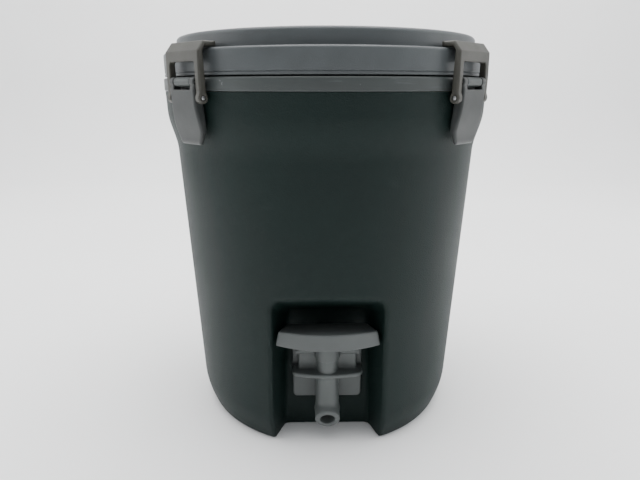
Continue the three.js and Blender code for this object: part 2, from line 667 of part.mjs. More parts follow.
function valveStem() {
  const foot = SEAL_DISC_TOP + GAP;
  return join(
    rodZ(STEM_RADIUS, foot, STEM_HEAD.high, VALVE_OUT),
    rodZ(CHAMBER_RADIUS - 1, foot, foot + 2, VALVE_OUT),
    rodZ(STEM_HEAD.radius, STEM_HEAD.low, STEM_HEAD.high, VALVE_OUT),
  );
}

function valveSpring() {
  const { radius, wire, turns, foot, top } = SPRING;
  const points = [];
  const stepsPerTurn = 10;
  for (let i = 0; i <= turns * stepsPerTurn; i++) {
    const angle = (2 * Math.PI * i) / stepsPerTurn;
    const rise = wire + ((top - foot - 2 * wire) * i) / (turns * stepsPerTurn);
    const x = radius * Math.cos(angle);
    const y = radius * Math.sin(angle) - VALVE_OUT;
    points.push(new THREE.Vector3(x, y, foot + rise));
  }
  const section = new THREE.Shape().absarc(0, 0, wire, 0, 2 * Math.PI);
  const path = new THREE.CatmullRomCurve3(points);
  const steps = turns * stepsPerTurn;
  return solid(new THREE.ExtrudeGeometry(section, { steps, extrudePath: path, curveSegments: 3 }));
}

// The lever: a paddle with a curved front skirt, two lugs on the fulcrum and a fork under the stem's head.
function spigotLever() {
  const { back, backTop, corner, front, frontTop, foot } = PADDLE;
  const width = PADDLE_HALF_WIDTH;
  const topAt = (out) => THREE.MathUtils.mapLinear(out, back, front, backTop, frontTop);
  const across = [-1, -0.75, -0.5, -0.25, 0, 0.25, 0.5, 0.75, 1];
  const paddle = (inset, drop) => {
    const bulge = (t) => corner + (front - corner) * (1 - t * t) - inset;
    const arc = (half) => across.map((t) => [t * (half - inset), bulge(t)]);
    const upper = arc(width.corner).map(([x, out]) => [x, out, topAt(out) - drop]);
    const lower = arc(width.foot).map(([x, out]) => [x, out + 0.6, foot - 2 * inset]);
    const rear = [-1, 1].flatMap((side) => [
      [side * (width.back - inset), back - 2 * inset, topAt(back) - drop],
      [side * (width.back + 1.5 - inset), back - 2 * inset, foot - 2 * inset],
    ]);
    return hull([...upper, ...lower, ...rear]);
  };
  const cap = cut(paddle(0, 0), paddle(PADDLE_SKIN, PADDLE_SKIN));
  const lugs = [-1, 1].map((side) => {
    const [left, right] = [side * LUG.inner, side * LUG.outer].sort((a, b) => a - b);
    const web = box([left, right], [FULCRUM.out - 5, FULCRUM.out + FULCRUM_EYE], [FULCRUM.z, LUG.top]);
    return join(web, rodX(FULCRUM_EYE, left, right, FULCRUM));
  });
  const fork = box([-LUG.outer, LUG.outer], [FORK.back, FULCRUM.out - 4], [FORK.low, FORK.high]);
  const slotHalf = STEM_RADIUS + 0.6;
  const slot = box([-slotHalf, slotHalf], [FORK.back - 1, VALVE_OUT + 3], [FORK.low - 1, FORK.high + 1]);
  const bore = rodX(FULCRUM_PIN + PIN_PLAY, -30, 30, FULCRUM);
  return cut(join(cap, ...lugs, cut(fork, slot)), bore);
}

const INNER_WALL = BAY_BACK - TANK_BAY_OFFSET - TANK_WALL;
const innerGasketBack = INNER_WALL - GAP - GASKET_THICKNESS;

add(jug, "spigot_body", spigotBody(), "spigot");
add(jug, "outer_gasket", washer(GASKET_RADIUS, BAY_BACK + GAP, BAY_BACK + GAP + GASKET_THICKNESS), "rubber");
add(jug, "inner_gasket", washer(GASKET_RADIUS, innerGasketBack, INNER_WALL - GAP), "rubber");
const nutFront = innerGasketBack - GAP;
add(jug, "spigot_nut", washer(NUT_RADIUS, nutFront - NUT_THICKNESS, nutFront, 6), "spigot");
add(jug, "valve_bonnet", valveBonnet(), "spigot");
add(jug, "valve_seal", rodZ(CHAMBER_RADIUS - 0.5, SEAT_Z + GAP, SEAL_DISC_TOP, VALVE_OUT), "rubber");
add(jug, "valve_stem", valveStem(), "steel");
add(jug, "valve_spring", valveSpring(), "steel");
add(jug, "spigot_lever", spigotLever(), "spigot");
add(jug, "lever_pin", rodX(FULCRUM_PIN, -21.2, 21.2, FULCRUM), "steel");

export default jug;
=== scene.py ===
"""Looks of the insulated drinks jug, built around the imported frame.

Shapes are worked out in millimetres as (x, out, z), where "out" is the distance from the jug's axis
towards the front, which is -Y, and become metres when a mesh is made. Smooth mouldings are signed
distance fields, turned into quads by a surface net; round pieces are turned profiles.
"""

import math

import bmesh
import bpy
import numpy as np
from mathutils import Matrix, Vector


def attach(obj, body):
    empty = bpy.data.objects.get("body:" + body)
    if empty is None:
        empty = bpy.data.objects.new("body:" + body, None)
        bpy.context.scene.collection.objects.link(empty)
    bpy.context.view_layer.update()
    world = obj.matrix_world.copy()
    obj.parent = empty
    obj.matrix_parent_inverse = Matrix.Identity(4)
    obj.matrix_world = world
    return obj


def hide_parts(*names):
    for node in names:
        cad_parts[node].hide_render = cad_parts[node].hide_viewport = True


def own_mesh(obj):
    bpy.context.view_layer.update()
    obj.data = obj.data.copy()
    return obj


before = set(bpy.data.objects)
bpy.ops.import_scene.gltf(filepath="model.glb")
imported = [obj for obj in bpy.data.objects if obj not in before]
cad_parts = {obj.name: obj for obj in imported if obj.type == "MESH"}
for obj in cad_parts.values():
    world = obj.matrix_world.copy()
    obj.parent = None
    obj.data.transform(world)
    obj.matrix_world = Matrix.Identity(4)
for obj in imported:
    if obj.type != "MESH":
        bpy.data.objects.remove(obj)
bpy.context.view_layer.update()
MM = 0.001
TURN_SEGMENTS = 192
LATCHES = {"front_left": -45, "front_right": 45, "rear_right": 135, "rear_left": -135}

# ---------------------------------------------------------------- camera
SENSOR = 36
PHOTO_WIDTH = 640
FOCAL_PIXELS = 518
camera = bpy.data.objects.new("camera", bpy.data.cameras.new("camera"))
bpy.context.scene.collection.objects.link(camera)
camera.data.sensor_width = SENSOR
camera.data.lens = SENSOR * FOCAL_PIXELS / PHOTO_WIDTH
camera.location = (-0.0107, -0.4368, 0.2621)
camera.rotation_euler = (math.radians(73.57), 0, math.radians(-0.85))
bpy.context.scene.camera = camera


# ---------------------------------------------------------------- distance fields
def both(a, b, radius=0.0):
    """Where two fields overlap, with an outer edge of a radius."""
    if np.ndim(radius) == 0 and radius == 0:
        return np.maximum(a, b)
    rounded = np.hypot(np.maximum(a + radius, 0), np.maximum(b + radius, 0))
    return np.minimum(-radius, np.maximum(a, b)) + rounded


def either(a, b, radius=0.0):
    """Two fields joined, with a fillet of a radius in the corner."""
    return -both(-a, -b, radius)


def without(a, b, radius=0.0):
    """The first field with the second cut out of it."""
    return both(a, -b, radius)


def slab(value, low, high):
    return np.abs(value - (low + high) / 2) - (high - low) / 2


def rod(a, b, radius, centre=(0.0, 0.0)):
    return np.hypot(a - centre[0], b - centre[1]) - radius


def block(p, across, outward, upward, radius=0.0):
    """A box between limits in x, out and z, with rounded edges."""
    plan = both(slab(p[0], *across), slab(p[1], *outward), radius)
    return both(plan, slab(p[2], *upward), radius)


def polygon(a, b, points):
    """Signed distance to a closed outline of points in the plane of two coordinates."""
    nearest = np.full(np.shape(a), np.inf)
    inside = np.zeros(np.shape(a), bool)
    for (ax, ay), (bx, by) in zip(points, points[1:] + points[:1]):
        ex, ey = bx - ax, by - ay
        along = np.clip(((a - ax) * ex + (b - ay) * ey) / (ex * ex + ey * ey), 0, 1)
        nearest = np.minimum(nearest, np.hypot(a - ax - along * ex, b - ay - along * ey))
        if ey != 0:
            crossing = ax + (b - ay) * ex / ey
            inside ^= ((ay > b) != (by > b)) & (a < crossing)
    return np.where(inside, -nearest, nearest)


def smoothstep(value, low, high):
    share = np.clip((value - low) / (high - low), 0, 1)
    return share * share * (3 - 2 * share)


def surface_net(field, low, high, step):
    """Vertices and quads on the zero surface of a field, pulled onto it along its slope."""
    axes = [np.arange(a - step, b + 2 * step, step) for a, b in zip(low, high)]
    p = np.meshgrid(*axes, indexing="ij")
    value = field(p)
    inside = value < 0
    cells = tuple(n - 1 for n in inside.shape)
    corner_slices = (slice(0, -1), slice(1, None))
    total = np.zeros(cells + (3,))
    count = np.zeros(cells)
    for axis in range(3):
        start = [slice(None)] * 3
        end = [slice(None)] * 3
        start[axis], end[axis] = corner_slices
        a, b = value[tuple(start)], value[tuple(end)]
        crosses = (a < 0) != (b < 0)
        share = np.where(crosses, a / np.where(crosses, a - b, 1), 0)
        point = [q[tuple(start)] + (share * step if i == axis else 0) for i, q in enumerate(p)]
        others = [i for i in range(3) if i != axis]
        for first in (0, 1):
            for second in (0, 1):
                pick = [slice(None)] * 3
                pick[others[0]] = corner_slices[first]
                pick[others[1]] = corner_slices[second]
                hit = crosses[tuple(pick)]
                count += hit
                for i in range(3):
                    total[..., i] += np.where(hit, point[i][tuple(pick)], 0)
    used = count > 0
    index = np.full(cells, -1)
    index[used] = np.arange(used.sum())
    points = total[used] / count[used][:, None]
    quads = []
    for axis in range(3):
        start = [slice(None)] * 3
        end = [slice(None)] * 3
        start[axis], end[axis] = corner_slices
        crosses = inside[tuple(start)] != inside[tuple(end)]
        leaving = inside[tuple(start)]
        where = np.argwhere(crosses)
        others = [i for i in range(3) if i != axis]
        enclosed = [(where[:, i] > 0) & (where[:, i] < inside.shape[i] - 1) for i in others]
        where = where[np.all(enclosed, axis=0)]
        around = []
        for da, db in ((-1, -1), (0, -1), (0, 0), (-1, 0)):
            cell = where.copy()
            cell[:, others[0]] += da
            cell[:, others[1]] += db
            around.append(index[tuple(cell.T)])
        quad = np.stack(around, 1)
        flip = leaving[tuple(where.T)] ^ (axis != 1)
        quad[flip] = quad[flip][:, ::-1]
        quads.append(quad)
    for _ in range(3):
        points = settle(field, points, step)
    return points, np.concatenate(quads)


def settle(field, points, step):
    """Points moved onto the zero surface of a field by one Newton step."""
    reach = step * 0.05
    here = field(list(points.T))
    slope = np.empty_like(points)
    for i in range(3):
        ahead = points.copy()
        behind = points.copy()
        ahead[:, i] += reach
        behind[:, i] -= reach
        slope[:, i] = (field(list(ahead.T)) - field(list(behind.T))) / (2 * reach)
    steepness = np.maximum((slope**2).sum(1), 0.25)
    move = -slope * (here / steepness)[:, None]
    length = np.maximum(np.linalg.norm(move, axis=1), 1e-9)
    return points + move * np.minimum(1, 0.6 * step / length)[:, None]


# ---------------------------------------------------------------- meshes
def crease(mesh, sharp):
    """Outward normals, smooth faces, and an edge wherever two faces meet at more than an angle."""
    bm = bmesh.new()
    bm.from_mesh(mesh)
    bmesh.ops.recalc_face_normals(bm, faces=bm.faces)
    limit = math.radians(sharp)
    for face in bm.faces:
        face.smooth = True
    for edge in bm.edges:
        edge.smooth = not edge.is_manifold or edge.calc_face_angle(0) < limit
    bm.to_mesh(mesh)
    bm.free()


def new_object(name, points, faces, sharp=35):
    """An object from points in (x, out, z) millimetres, with edges sharper than an angle kept."""
    world = np.asarray(points, float) * MM
    world = np.stack([world[:, 0], -world[:, 1], world[:, 2]], 1)
    mesh = bpy.data.meshes.new(name)
    mesh.from_pydata(world.tolist(), [], [list(map(int, f)) for f in faces])
    crease(mesh, sharp)
    made = bpy.data.objects.new(name, mesh)
    bpy.context.scene.collection.objects.link(made)
    return made


def moulding(name, field, low, high, step):
    """An object from a field, meshed inside a box of (x, out, z) at a step in millimetres."""
    return new_object(name, *surface_net(field, low, high, step), sharp=50)


def cut_away(target, cutter):
    """One object taken out of another, which keeps the cut mesh."""
    modifier = target.modifiers.new("cut", "BOOLEAN")
    modifier.operation = "DIFFERENCE"
    modifier.solver = "MANIFOLD"
    modifier.object = cutter
    graph = bpy.context.evaluated_depsgraph_get()
    cut_mesh = bpy.data.meshes.new_from_object(target.evaluated_get(graph))
    target.modifiers.clear()
    target.data = cut_mesh
    crease(cut_mesh, 50)
    bpy.data.objects.remove(cutter)


def eased(points):
    """A closed outline with its corners cut twice, so that it reads as a curve."""
    for _ in range(2):
        after = points[1:] + points[:1]
        points = [
            (a[0] + (b[0] - a[0]) * share, a[1] + (b[1] - a[1]) * share)
            for a, b in zip(points, after)
            for share in (0.25, 0.75)
        ]
    return points


def filleted(points, radii):
    """A closed profile with its corners rounded: one radius per point, 0 for a sharp corner."""
    result = []
    for i, (corner, radius) in enumerate(zip(points, radii)):
        here = Vector(corner)
        if radius == 0:
            result.append(tuple(here))
            continue
        back = Vector(points[i - 1]) - here
        ahead = Vector(points[(i + 1) % len(points)]) - here
        half = back.angle(ahead) / 2
        run = min(radius / math.tan(half), 0.49 * back.length, 0.49 * ahead.length)
        radius = run * math.tan(half)
        centre = here + (back.normalized() + ahead.normalized()).normalized() * (radius / math.sin(half))
        start = here + back.normalized() * run - centre
        sweep = start.angle_signed(here + ahead.normalized() * run - centre)
        steps = max(2, round(abs(math.degrees(sweep)) / 15))
        for k in range(steps + 1):
            spun = Matrix.Rotation(-sweep * k / steps, 2) @ start
            result.append(tuple(centre + spun))
    return result


def turned(name, points, radii=None, axis="z", centre=(0, 0, 0), segments=TURN_SEGMENTS):
    """A piece turned from a closed profile of (radius, height); points on the axis are poles."""
    profile = filleted(points, radii or [0] * len(points))
    rows, vertices, faces = [], [], []
    for radius, height in profile:
        if radius < 1e-6:
            rows.append([len(vertices)] * segments)
            vertices.append((0, 0, height))
            continue
        rows.append(list(range(len(vertices), len(vertices) + segments)))
        for k in range(segments):
            angle = 2 * math.pi * k / segments
            vertices.append((radius * math.cos(angle), radius * math.sin(angle), height))
    for first, second in zip(rows, rows[1:] + rows[:1]):
        for k in range(segments):
            after = (k + 1) % segments
            loop = [first[k], first[after], second[after], second[k]]
            face = list(dict.fromkeys(loop))
            if len(face) > 2:
                faces.append(face)
    order = {"z": (0, 1, 2), "x": (2, 0, 1), "out": (1, 2, 0)}[axis]
    moved = np.array(vertices)[:, order] + np.array(centre)
    return new_object(name, moved, faces)


def turned_round(name, source, degrees):
    """A copy of an object turned about the jug's axis."""
    copy = bpy.data.objects.new(name, source.data.copy())
    copy.data.transform(Matrix.Rotation(math.radians(degrees), 4, "Z"))
    bpy.context.scene.collection.objects.link(copy)
    return copy


def place(piece, body, *nodes, slot, material):
    """A piece given its material and body, standing for its CAD nodes; its slot is not used."""
    piece.data.materials.clear()
    piece.data.materials.append(material)
    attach(piece, body)
    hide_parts(*nodes)
    return piece


# ---------------------------------------------------------------- materials
EDGE_BEND = (0.015, 0.22)  # how far a normal bends where an edge begins and is full


class Nodes:
    """A material's node tree, with short calls for the nodes used here. Coordinates are in metres."""

    def __init__(self, name):
        self.material = bpy.data.materials.new(name)
        self.material.use_nodes = True
        self.tree = self.material.node_tree
        self.shader = self.tree.nodes["Principled BSDF"]
        self.place = self.tree.nodes.new("ShaderNodeTexCoord").outputs["Object"]

    def node(self, kind, inputs=None, **settings):
        made = self.tree.nodes.new(kind)
        for key, value in settings.items():
            setattr(made, key, value)
        for key, value in (inputs or {}).items():
            self.put(value, made.inputs[key])
        return made

    def put(self, value, socket):
        if isinstance(value, bpy.types.NodeSocket):
            self.tree.links.new(value, socket)
        else:
            socket.default_value = value

    def noise(self, scale, detail=3.0, roughness=0.55, stretch=(1, 1, 1)):
        spread = self.node("ShaderNodeMapping", {"Vector": self.place, "Scale": stretch}).outputs[0]
        inputs = {"Vector": spread, "Scale": scale, "Detail": detail, "Roughness": roughness}
        return self.node("ShaderNodeTexNoise", inputs).outputs["Fac"]

    def cells(self, scale, feature="F1"):
        inputs = {"Vector": self.place, "Scale": scale}
        return self.node("ShaderNodeTexVoronoi", inputs, feature=feature).outputs["Distance"]

    def span(self, value, low, high, to_low=0.0, to_high=1.0):
        inputs = {"Value": value, "From Min": low, "From Max": high, "To Min": to_low, "To Max": to_high}
        return self.node("ShaderNodeMapRange", inputs, clamp=True).outputs[0]

    def math(self, operation, a, b):
        return self.node("ShaderNodeMath", {0: a, 1: b}, operation=operation).outputs[0]

    def mix(self, share, a, b):
        made = self.node("ShaderNodeMix", data_type="RGBA")
        self.put(share, made.inputs[0])
        self.put(a, made.inputs[6])
        self.put(b, made.inputs[7])
        return made.outputs[2]

    def edges(self, radius):
        """0 on flat ground, 1 on convex edges, from a bevelled normal."""
        soft = self.node("ShaderNodeBevel", {"Radius": radius}, samples=6).outputs[0]
        sharp = self.node("ShaderNodeNewGeometry").outputs["Normal"]
        same = self.node("ShaderNodeVectorMath", {0: soft, 1: sharp}, operation="DOT_PRODUCT")
        bent = self.math("SUBTRACT", 1.0, same.outputs["Value"])
        return self.span(bent, *EDGE_BEND)

    def bump(self, height, distance, strength=1.0, under=None):
        inputs = {"Height": height, "Distance": distance, "Strength": strength}
        if under is not None:
            inputs["Normal"] = under
        return self.node("ShaderNodeBump", inputs).outputs[0]


def shade(colour, factor):
    return tuple(c * factor for c in colour[:3]) + (1.0,)


def moulded_plastic(
    name, colour, roughness, grain_scale, grain_depth, wear=0.3, specular=0.4, mottle=0.18
):
    """Moulded plastic: fine grain, mottled tone, rubbed edges and faint dust."""
    n = Nodes(name)
    base = tuple(colour) + (1.0,)
    cloud = n.noise(14, 5)
    patch = n.noise(90, 4)
    tone = n.mix(n.span(cloud, 0.3, 0.7), shade(base, 1 - mottle), shade(base, 1 + mottle))
    tone = n.mix(n.span(patch, 0.35, 0.75, 0, 0.25), tone, shade(base, 1.25))
    rubbed = n.math("MULTIPLY", n.edges(0.0012), n.span(n.noise(260, 3), 0.35, 0.7))
    tone = n.mix(n.math("MULTIPLY", rubbed, wear), tone, shade(base, 2.1))
    n.put(tone, n.shader.inputs["Base Color"])
    grain = n.cells(grain_scale)
    rough = n.math("ADD", n.span(patch, 0.3, 0.7, roughness - 0.05, roughness + 0.06),
                   n.math("MULTIPLY", rubbed, -0.08))
    n.put(rough, n.shader.inputs["Roughness"])
    n.shader.inputs["Specular IOR Level"].default_value = specular
    waves = n.bump(n.noise(45, 2), 0.0004, 0.25)
    n.put(n.bump(grain, grain_depth, 0.6, waves), n.shader.inputs["Normal"])
    return n.material


def shell_plastic():
    """The pebbled dark green shell, a little paler where it has been rubbed."""
    n = Nodes("shell_green")
    green = (0.0034, 0.0108, 0.0093, 1)
    cloud = n.noise(9, 6)
    tone = n.mix(n.span(cloud, 0.3, 0.7), shade(green, 0.88), shade(green, 1.12))
    fleck = n.span(n.noise(700, 2), 0.62, 0.75, 0, 0.25)
    tone = n.mix(fleck, tone, shade(green, 1.9))
    scuff = n.span(n.noise(38, 8, 0.7, (1, 1, 2.5)), 0.62, 0.8, 0, 0.22)
    tone = n.mix(scuff, tone, (0.034, 0.052, 0.048, 1))
    rubbed = n.math("MULTIPLY", n.edges(0.0025), n.span(n.noise(180, 4), 0.3, 0.7))
    tone = n.mix(n.math("MULTIPLY", rubbed, 0.35), tone, shade(green, 2.4))
    n.put(tone, n.shader.inputs["Base Color"])
    n.put(n.span(cloud, 0.3, 0.7, 0.50, 0.60), n.shader.inputs["Roughness"])
    n.shader.inputs["Specular IOR Level"].default_value = 0.2
    pebbles = n.math("ADD", n.cells(1150), n.math("MULTIPLY", n.noise(1700, 2), 0.5))
    waves = n.bump(n.noise(30, 2), 0.0006, 0.25)
    n.put(n.bump(pebbles, 0.00022, 0.75, waves), n.shader.inputs["Normal"])
    return n.material


def collar_plastic():
    """The collar: smooth grey-green with small pale scuffs where the latches and hands catch it."""
    n = Nodes("collar_grey")
    base = (0.034, 0.041, 0.040, 1)
    tone = n.mix(n.span(n.noise(20, 5), 0.3, 0.7), shade(base, 0.85), shade(base, 1.15))
    chips = n.span(n.noise(420, 2, 0.5, (1, 1, 0.8)), 0.70, 0.76)
    zone = n.span(n.noise(28, 3), 0.52, 0.66)
    tone = n.mix(n.math("MULTIPLY", n.math("MULTIPLY", chips, zone), 0.8), tone, (0.45, 0.47, 0.46, 1))
    streaks = n.span(n.noise(60, 6, 0.65, (0.6, 0.6, 9)), 0.58, 0.72, 0, 0.3)
    tone = n.mix(streaks, tone, (0.15, 0.17, 0.17, 1))
    n.put(tone, n.shader.inputs["Base Color"])
    n.put(n.span(n.noise(75, 4), 0.3, 0.7, 0.42, 0.56), n.shader.inputs["Roughness"])
    n.put(n.bump(n.cells(1500), 0.00008, 0.5), n.shader.inputs["Normal"])
    return n.material


def rubber():
    n = Nodes("rubber")
    tone = n.mix(n.span(n.noise(60, 4), 0.3, 0.7), (0.012, 0.012, 0.012, 1), (0.03, 0.03, 0.029, 1))
    n.put(tone, n.shader.inputs["Base Color"])
    n.put(n.span(n.noise(200, 3), 0.3, 0.7, 0.7, 0.9), n.shader.inputs["Roughness"])
    n.put(n.bump(n.noise(900, 2), 0.0001, 0.4), n.shader.inputs["Normal"])
    return n.material


def foam():
    n = Nodes("foam")
    tone = n.mix(n.span(n.noise(40, 5), 0.3, 0.7), (0.68, 0.60, 0.40, 1), (0.80, 0.74, 0.54, 1))
    n.put(tone, n.shader.inputs["Base Color"])
    n.shader.inputs["Roughness"].default_value = 0.95
    n.put(n.bump(n.cells(700), 0.0004, 0.8), n.shader.inputs["Normal"])
    return n.material


def steel():
    n = Nodes("steel")
    drawn = n.noise(120, 4, 0.6, (0.15, 6, 6))
    tone = n.mix(n.span(drawn, 0.3, 0.7), (0.48, 0.48, 0.49, 1), (0.63, 0.63, 0.64, 1))
    n.put(tone, n.shader.inputs["Base Color"])
    n.shader.inputs["Metallic"].default_value = 1.0
    n.put(n.span(drawn, 0.3, 0.7, 0.24, 0.40), n.shader.inputs["Roughness"])
    n.put(n.bump(drawn, 0.00005, 0.4), n.shader.inputs["Normal"])
    return n.material


FINISH = {
    "shell_green": shell_plastic(),
    "collar_grey": collar_plastic(),
    "lid_grey": moulded_plastic("lid_grey", (0.060, 0.068, 0.071), 0.44, 1500, 0.00008),
    "tank_grey": moulded_plastic(
        "tank_grey", (0.44, 0.45, 0.44), 0.36, 1800, 0.00004, wear=0.1, mottle=0.05
    ),
    "latch_grey": moulded_plastic("latch_grey", (0.027, 0.030, 0.0295), 0.42, 1600, 0.00008, wear=0.45),
    "loop_grey": moulded_plastic("loop_grey", (0.043, 0.042, 0.035), 0.46, 1600, 0.00008, wear=0.45),
    "spigot_grey": moulded_plastic("spigot_grey", (0.080, 0.089, 0.087), 0.42, 1700, 0.00007, wear=0.4),
    "lever_grey": moulded_plastic("lever_grey", (0.068, 0.075, 0.074), 0.42, 1700, 0.00007, wear=0.4),
    "rubber": rubber(),
    "foam": foam(),
    "steel": steel(),
}

# ---------------------------------------------------------------- outer shell
BODY_TOP = 259.3
BODY_TOP_RADIUS = 124.5
SHOULDER_TOP = 246
SHOULDER_TOP_RADIUS = 124
SHOULDER_FOOT = 215
SHOULDER_FOOT_RADIUS = 117.9
BEVEL_TOP = 28
BEVEL_TOP_RADIUS = 108.9
BASE_RADIUS = 101.6
SHELL_WALL = 3
BAY_BACK = 74.5
BAY_CEILING = 101.5
BAY_CEILING_RISE = 0.58
BAY_HALF = {"floor": 33.4, "ceiling": 30.5}
BAY_FLARE = {"floor": 0.366, "ceiling": 0.3}
BAY_DROP = 10
BAY_CORNER = 3.5
BAY_EDGE = {"side": 2.3, "top": 2.4, "foot": 1.6}
SHANK_Z = 63
SHANK_HOLE = 8.3
SQUARE = [(-200, -200), (200, -200), (200, 200), (-200, 200)]


def body_radius(z):
    below = np.clip(1 - z / BEVEL_TOP, 0, 1) ** 1.8
    bevel = BEVEL_TOP_RADIUS + (BASE_RADIUS - BEVEL_TOP_RADIUS) * below
    side = np.interp(z, [BEVEL_TOP, SHOULDER_FOOT], [BEVEL_TOP_RADIUS, SHOULDER_FOOT_RADIUS])
    grow = smoothstep(z, SHOULDER_FOOT, SHOULDER_TOP) * (SHOULDER_TOP_RADIUS - SHOULDER_FOOT_RADIUS)
    flare = np.interp(z, [SHOULDER_TOP, BODY_TOP], [0, BODY_TOP_RADIUS - SHOULDER_TOP_RADIUS])
    return np.where(z < BEVEL_TOP, bevel, side + grow + flare)


def bay_field(p):
    x, out, z = p
    depth = out - BAY_BACK
    top = BAY_CEILING + BAY_CEILING_RISE * np.maximum(depth, -15)
    up = np.clip((z + BAY_DROP) / (top + BAY_DROP), 0, 1.3)
    half = BAY_HALF["floor"] + (BAY_HALF["ceiling"] - BAY_HALF["floor"]) * up
    flare = BAY_FLARE["floor"] + (BAY_FLARE["ceiling"] - BAY_FLARE["floor"]) * up
    sides = (np.abs(x) - half - flare * depth) / math.hypot(1, BAY_FLARE["ceiling"])
    ceiling = (z - BAY_CEILING - BAY_CEILING_RISE * depth) / math.hypot(1, BAY_CEILING_RISE)
    return both(both(sides, ceiling, BAY_CORNER + 2), -depth, BAY_CORNER)


def body_field(p):
    """The outside of the shell with the bay cut out of it, and no top."""
    x, out, z = p
    round_side = (np.hypot(x, out) - body_radius(z)) * 0.99
    outside = both(round_side, -z, 2.0)
    edge = BAY_EDGE["side"] + (BAY_EDGE["top"] - BAY_EDGE["side"]) * smoothstep(z, 100, 122)
    edge = BAY_EDGE["foot"] + (edge - BAY_EDGE["foot"]) * smoothstep(z, 0, 9)
    return without(outside, bay_field(p), edge)


def make_shell():
    reach = BODY_TOP_RADIUS
    low, high = (-reach, -reach, 0), (reach, reach, BODY_TOP + 5)
    hole = lambda p: both(rod(p[0], p[2], SHANK_HOLE, (0, SHANK_Z)), slab(p[1], 40, BAY_BACK + 9))
    outside = lambda p: without(both(body_field(p), p[2] - BODY_TOP - 5), hole(p))
    inside = lambda p: both(body_field(p) + SHELL_WALL, p[2] - BODY_TOP - 11)
    shell = moulding("shell_moulding", outside, low, high, 2.0)
    cut_away(shell, moulding("shell_hollow", inside, low, (reach, reach, BODY_TOP + 11), 4.0))
    corners = [(x, out, z) for z in (BODY_TOP, BODY_TOP + 30) for x, out in SQUARE]
    sides = [(k, (k + 1) % 4, (k + 1) % 4 + 4, k + 4) for k in range(4)]
    cut_away(shell, new_object("shell_top_cut", corners, [(0, 1, 2, 3), (4, 5, 6, 7), *sides]))
    place(shell, "jug", "outer_shell", slot="shell_green", material=FINISH["shell_green"])


make_shell()

# ---------------------------------------------------------------- tank and collar
TANK_RADIUS = 81
TANK_WALL = 2.7
TANK_FLOOR = 38
COLLAR_RADIUS = 125
COLLAR_FOOT = 259.6
COLLAR_TOP = 268.4
COLLAR_BORE = TANK_RADIUS + TANK_WALL + 0.3
BAY_GROWTH = 13


def tank_field(p, inset):
    notch = bay_field(p) - (BAY_GROWTH + inset)
    side = np.hypot(p[0], p[1]) - (TANK_RADIUS + TANK_WALL - inset)
    return without(both(side, TANK_FLOOR - TANK_WALL + inset - p[2], 5.0), notch, 3.0)


def make_tank():
    reach = TANK_RADIUS + TANK_WALL
    low, high = (-reach, -reach, TANK_FLOOR - TANK_WALL), (reach, reach, COLLAR_TOP)
    hole = lambda p: both(rod(p[0], p[2], SHANK_HOLE, (0, SHANK_Z)), slab(p[1], 40, 84))
    wall = lambda p: without(tank_field(p, 0), both(tank_field(p, TANK_WALL), -p[2]))
    field = lambda p: without(both(wall(p), p[2] - (COLLAR_TOP - 0.3), 0.8), hole(p))
    tank = moulding("tank_moulding", field, low, high, 1.75)
    place(tank, "jug", "inner_tank", slot="tank_grey", material=FINISH["tank_grey"])


def make_collar():
    profile = [
        (COLLAR_BORE, COLLAR_TOP),
        (COLLAR_BORE, 245),
        (COLLAR_BORE + 2.5, 245),
        (COLLAR_BORE + 2.5, COLLAR_FOOT),
        (COLLAR_RADIUS, COLLAR_FOOT),
        (COLLAR_RADIUS, COLLAR_TOP),
    ]
    collar = turned("collar_moulding", profile, [0.8, 0.5, 0.5, 0.5, 0.7, 1.4])
    place(collar, "jug", "collar_ring", slot="collar_grey", material=FINISH["collar_grey"])


make_tank()
make_collar()

# ---------------------------------------------------------------- lid
LID_FOOT = 269.3
LID_RADIUS = 124
LID_SHELF = 285.6
LID_SKIN = 3
RIM_RADIUS = 113.9
RIM_TOP = 296.8
RIM_INSIDE = 107.5
RECESS_FLOOR = 284
HANDLE_AXIS_Z = 289.5
HANDLE_HALF_WIDTH = 65.5
HANDLE_BAR = 11
HANDLE_REACH = 74
HANDLE_CORNER = 26
HANDLE_HALF_THICKNESS = 4
HANDLE_BORE = 2.3
LUG_RADIUS = 5
LUG_WIDTH = 8
PLUG_RADIUS = 79.5
PLUG_FOOT = 254


